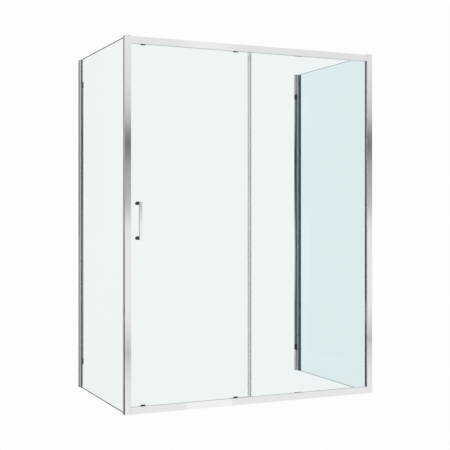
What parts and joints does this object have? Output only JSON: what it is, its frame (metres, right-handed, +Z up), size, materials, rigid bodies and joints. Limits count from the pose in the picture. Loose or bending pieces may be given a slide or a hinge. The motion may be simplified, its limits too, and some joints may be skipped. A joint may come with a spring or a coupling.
{
  "type": "shower enclosure",
  "caption": "Three-sided glass shower enclosure with a framed front, a sliding door on rollers, a fixed front panel and side panels that end in wall channels.",
  "frame": {"origin": "middle of the sill rail's underside, on the floor", "axes": "+X along the front to the right, +Y from the front into the shower towards the wall, +Z up"},
  "size_m": [1.495, 0.916, 1.95],
  "materials": {
    "bright_aluminium": "bright polished",
    "polished_metal": "polished",
    "clear_glass": "clear, faint green tint",
    "silver_plastic": "silver",
    "black_plastic": "satin",
    "grey_plastic": "satin",
    "white_plastic": "smooth",
    "clear_seal": "translucent",
    "magnet_rubber": "matt",
    "grey_rubber": "matt",
    "steel": "zinc plated"
  },
  "bodies": {
    "frame": {"left_post": "bright_aluminium", "right_post": "bright_aluminium", "post_end_caps": "silver_plastic", "head_rail": "bright_aluminium", "head_filler_strip": "silver_plastic", "sill_rail": "bright_aluminium", "sill_filler_strip": "silver_plastic", "rail_brackets": "grey_plastic", "bracket_screws": "steel", "fixed_glass": "clear_glass", "fixed_glass_gaskets": "grey_rubber", "fixed_glass_setting_blocks": "grey_rubber", "fixed_edge_seal": "clear_seal", "jamb_magnet_seal": "clear_seal", "jamb_magnet_strip": "magnet_rubber", "left_wall_channel": "bright_aluminium", "left_glass_profile": "bright_aluminium", "left_side_glass": "clear_glass", "left_side_gaskets": "grey_rubber", "right_wall_channel": "bright_aluminium", "right_glass_profile": "bright_aluminium", "right_side_glass": "clear_glass", "right_side_gaskets": "grey_rubber", "side_glass_setting_blocks": "grey_rubber", "side_glazing_beads": "grey_plastic", "wall_profile_caps": "black_plastic", "wall_cover_strips": "grey_plastic", "lock_covers": "black_plastic", "lock_nut_blocks": "black_plastic", "lock_screws": "steel", "door_stops": "grey_rubber"},
    "sliding_door": {"door_glass": "clear_glass", "door_magnet_seal": "clear_seal", "door_magnet_strip": "magnet_rubber", "door_trailing_seal": "clear_seal", "handle_bar": "polished_metal", "handle_legs": "black_plastic", "handle_studs": "steel", "handle_washers": "clear_seal", "handle_inner_caps": "polished_metal", "top_roller_carriers": "black_plastic", "top_roller_axles": "steel", "top_roller_bushes": "white_plastic", "bottom_roller_housings": "grey_plastic", "roller_inner_caps": "polished_metal", "release_springs_left": "steel", "release_springs_right": "steel"},
    "left_release": {"release_slider_left": "black_plastic", "release_axle_left": "steel"},
    "right_release": {"release_slider_right": "black_plastic", "release_axle_right": "steel"},
    "top_left_wheel": {"top_wheel_left": "white_plastic"},
    "top_right_wheel": {"top_wheel_right": "white_plastic"},
    "bottom_left_wheel": {"bottom_wheel_left": "white_plastic"},
    "bottom_right_wheel": {"bottom_wheel_right": "white_plastic"}
  },
  "joints": [
    {"name": "door_slide", "type": "slide", "parent": "frame", "child": "sliding_door", "axis": [1, 0, 0], "range_m": [0, 0.56]},
    {"name": "left_release_press", "type": "slide", "parent": "sliding_door", "child": "left_release", "axis": [0, 0, -1], "range_m": [0, 0.004], "stiffness_N_per_m": 1500, "springref_m": -0.004, "deforming": ["release_springs_left"]},
    {"name": "right_release_press", "type": "slide", "parent": "sliding_door", "child": "right_release", "axis": [0, 0, -1], "range_m": [0, 0.004], "stiffness_N_per_m": 1500, "springref_m": -0.004, "deforming": ["release_springs_right"]},
    {"name": "top_left_wheel_spin", "type": "hinge", "parent": "sliding_door", "child": "top_left_wheel", "pos_m": [-0.6405, 0.006, 1.9237], "axis": [0, 1, 0], "continuous": true},
    {"name": "top_right_wheel_spin", "type": "hinge", "parent": "sliding_door", "child": "top_right_wheel", "pos_m": [-0.1105, 0.006, 1.9237], "axis": [0, 1, 0], "continuous": true},
    {"name": "bottom_left_wheel_spin", "type": "hinge", "parent": "left_release", "child": "bottom_left_wheel", "pos_m": [-0.6405, 0.006, 0.0233], "axis": [0, 1, 0], "continuous": true},
    {"name": "bottom_right_wheel_spin", "type": "hinge", "parent": "right_release", "child": "bottom_right_wheel", "pos_m": [-0.1105, 0.006, 0.0233], "axis": [0, 1, 0], "continuous": true}
  ],
  "couplings": [
    {"joint": "top_left_wheel_spin", "follows": "door_slide", "rad_per_m": 117.65},
    {"joint": "top_right_wheel_spin", "follows": "door_slide", "rad_per_m": 117.65},
    {"joint": "bottom_left_wheel_spin", "follows": "door_slide", "rad_per_m": -117.65},
    {"joint": "bottom_right_wheel_spin", "follows": "door_slide", "rad_per_m": -117.65}
  ]
}
